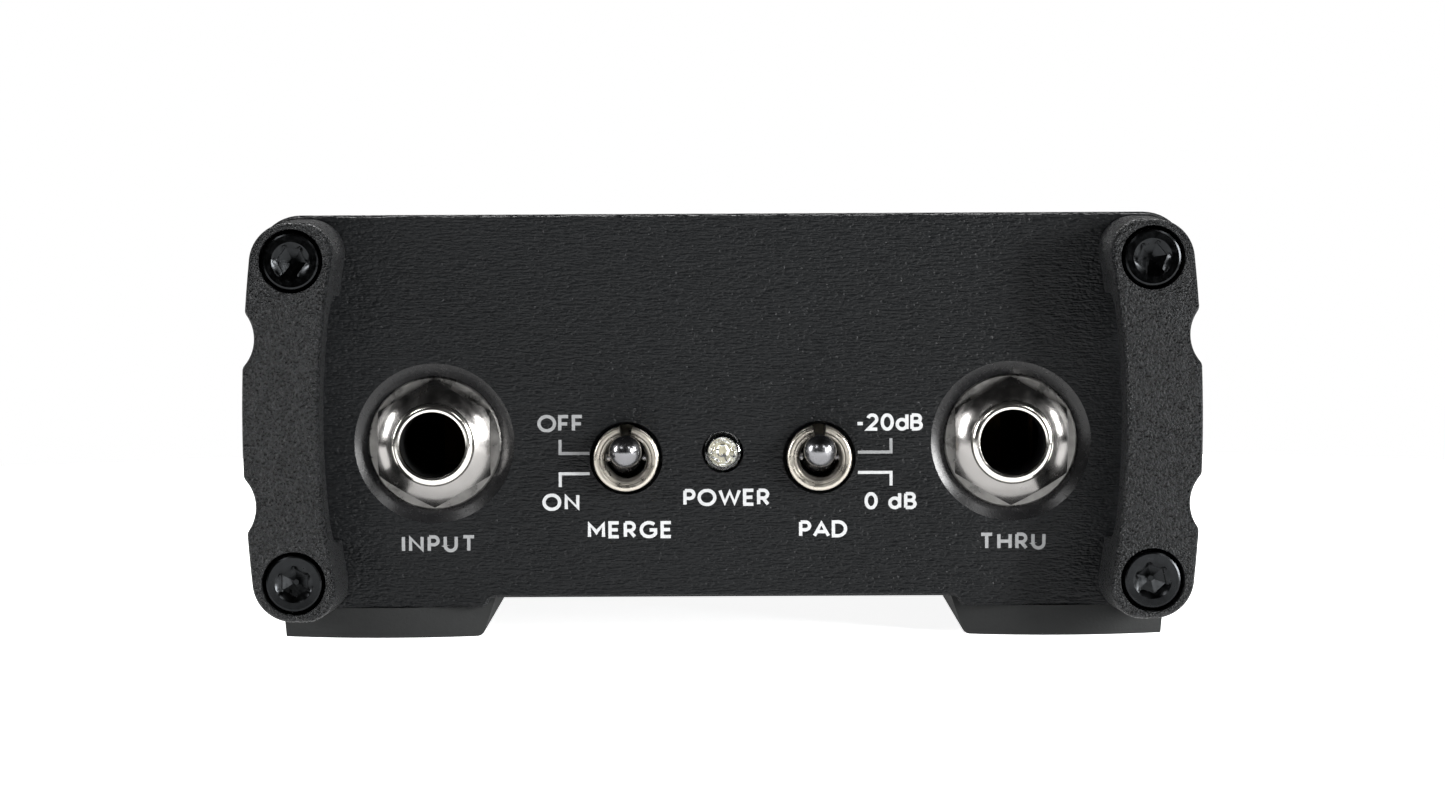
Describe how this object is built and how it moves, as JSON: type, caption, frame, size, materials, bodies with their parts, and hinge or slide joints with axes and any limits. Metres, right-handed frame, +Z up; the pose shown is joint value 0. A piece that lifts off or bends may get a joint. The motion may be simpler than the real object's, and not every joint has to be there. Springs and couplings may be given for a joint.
{
  "type": "direct injection box",
  "caption": "Compact audio direct injection box: an extruded metal case with corner bumpers, jack sockets, toggle switches and an XLR output.",
  "frame": {"origin": "on the ground under the middle of the box", "axes": "+Z up, the front panel with the jacks faces -Y, +X to the right seen from the front"},
  "size_m": [0.0924, 0.12, 0.0417],
  "materials": {
    "case_paint": "satin black powder coat on extruded aluminium",
    "panel_paint": "satin black paint over brushed aluminium",
    "bumper_coat": "grained black coat on die-cast zinc",
    "black_steel": "black oxide steel",
    "foot_rubber": "matt black moulded rubber",
    "black_plastic": "black glass-filled nylon",
    "nickel_plate": "bright nickel plate",
    "chrome_plate": "polished chrome plate",
    "red_plastic": "moulded red diallyl phthalate",
    "nylon": "natural nylon",
    "tinned_steel": "tin-plated steel",
    "tinned_brass": "tin-plated brass",
    "contact_bronze": "sprung phosphor bronze",
    "clear_resin": "water-clear epoxy",
    "black_nickel": "black nickel plate on zinc",
    "board_laminate": "green solder mask on glass-epoxy",
    "copper_winding": "enamelled copper wire under tape",
    "core_steel": "nickel-iron laminations",
    "capacitor_sleeve": "black shrink sleeve on an aluminium can",
    "chip_plastic": "black moulded epoxy"
  },
  "bodies": {
    "box": {"amplifier_chips": "chip_plastic", "body_shell": "case_paint", "circuit_board": "board_laminate", "electrolytic_capacitors": "capacitor_sleeve", "front_bumper_screws": "black_steel", "front_left_bumper": "bumper_coat", "front_panel": "panel_paint", "front_right_bumper": "bumper_coat", "input_jack_housing": "black_plastic", "input_jack_nut": "nickel_plate", "input_jack_ring_spring": "contact_bronze", "input_jack_sleeve_contact": "contact_bronze", "input_jack_switch_contact": "contact_bronze", "input_jack_tip_spring": "contact_bronze", "input_jack_washer": "nickel_plate", "left_foot": "foot_rubber", "lift_switch_bushing": "nickel_plate", "lift_switch_case": "red_plastic", "lift_switch_frame": "tinned_steel", "lift_switch_terminals": "tinned_brass", "merge_switch_bushing": "nickel_plate", "merge_switch_case": "red_plastic", "merge_switch_frame": "tinned_steel", "merge_switch_terminals": "tinned_brass", "pad_switch_bushing": "nickel_plate", "pad_switch_case": "red_plastic", "pad_switch_frame": "tinned_steel", "pad_switch_terminals": "tinned_brass", "power_led_leads": "tinned_brass", "power_led_lens": "clear_resin", "power_led_spacer": "black_plastic", "rear_bumper_screws": "black_steel", "rear_left_bumper": "bumper_coat", "rear_panel": "panel_paint", "rear_right_bumper": "bumper_coat", "resistors": "chip_plastic", "right_foot": "foot_rubber", "thru_jack_housing": "black_plastic", "thru_jack_nut": "nickel_plate", "thru_jack_ring_spring": "contact_bronze", "thru_jack_sleeve_contact": "contact_bronze", "thru_jack_switch_contact": "contact_bronze", "thru_jack_tip_spring": "contact_bronze", "thru_jack_washer": "nickel_plate", "transformer_bobbin": "nylon", "transformer_core": "core_steel", "transformer_winding": "copper_winding", "xlr_insert": "black_plastic", "xlr_pins": "nickel_plate", "xlr_screws": "black_steel", "xlr_shell": "black_nickel"},
    "merge_lever": {"merge_switch_lever": "chrome_plate", "merge_switch_plunger": "nylon"},
    "merge_rocker": {"merge_switch_rocker": "tinned_brass"},
    "pad_lever": {"pad_switch_lever": "chrome_plate", "pad_switch_plunger": "nylon"},
    "pad_rocker": {"pad_switch_rocker": "tinned_brass"},
    "lift_lever": {"lift_switch_lever": "chrome_plate", "lift_switch_plunger": "nylon"},
    "lift_rocker": {"lift_switch_rocker": "tinned_brass"}
  },
  "joints": [
    {"name": "merge_lever_tilt", "type": "hinge", "parent": "box", "child": "merge_lever", "pos_m": [-0.0095, -0.0496, 0.01765], "axis": [1, 0, 0], "range_deg": [0, 20]},
    {"name": "merge_rocker_tilt", "type": "hinge", "parent": "box", "child": "merge_rocker", "pos_m": [-0.0095, -0.0435, 0.01765], "axis": [1, 0, 0], "range_deg": [-13.34, 0]},
    {"name": "pad_lever_tilt", "type": "hinge", "parent": "box", "child": "pad_lever", "pos_m": [0.0095, -0.0496, 0.01765], "axis": [1, 0, 0], "range_deg": [0, 20]},
    {"name": "pad_rocker_tilt", "type": "hinge", "parent": "box", "child": "pad_rocker", "pos_m": [0.0095, -0.0435, 0.01765], "axis": [1, 0, 0], "range_deg": [-13.34, 0]},
    {"name": "lift_lever_tilt", "type": "hinge", "parent": "box", "child": "lift_lever", "pos_m": [0.027, 0.0496, 0.01765], "axis": [-1, 0, 0], "range_deg": [0, 20]},
    {"name": "lift_rocker_tilt", "type": "hinge", "parent": "box", "child": "lift_rocker", "pos_m": [0.027, 0.0435, 0.01765], "axis": [-1, 0, 0], "range_deg": [-13.34, 0]}
  ],
  "couplings": [
    {"joint": "merge_rocker_tilt", "follows": "merge_lever_tilt", "ratio": -0.6666},
    {"joint": "pad_rocker_tilt", "follows": "pad_lever_tilt", "ratio": -0.6666},
    {"joint": "lift_rocker_tilt", "follows": "lift_lever_tilt", "ratio": -0.6666}
  ]
}
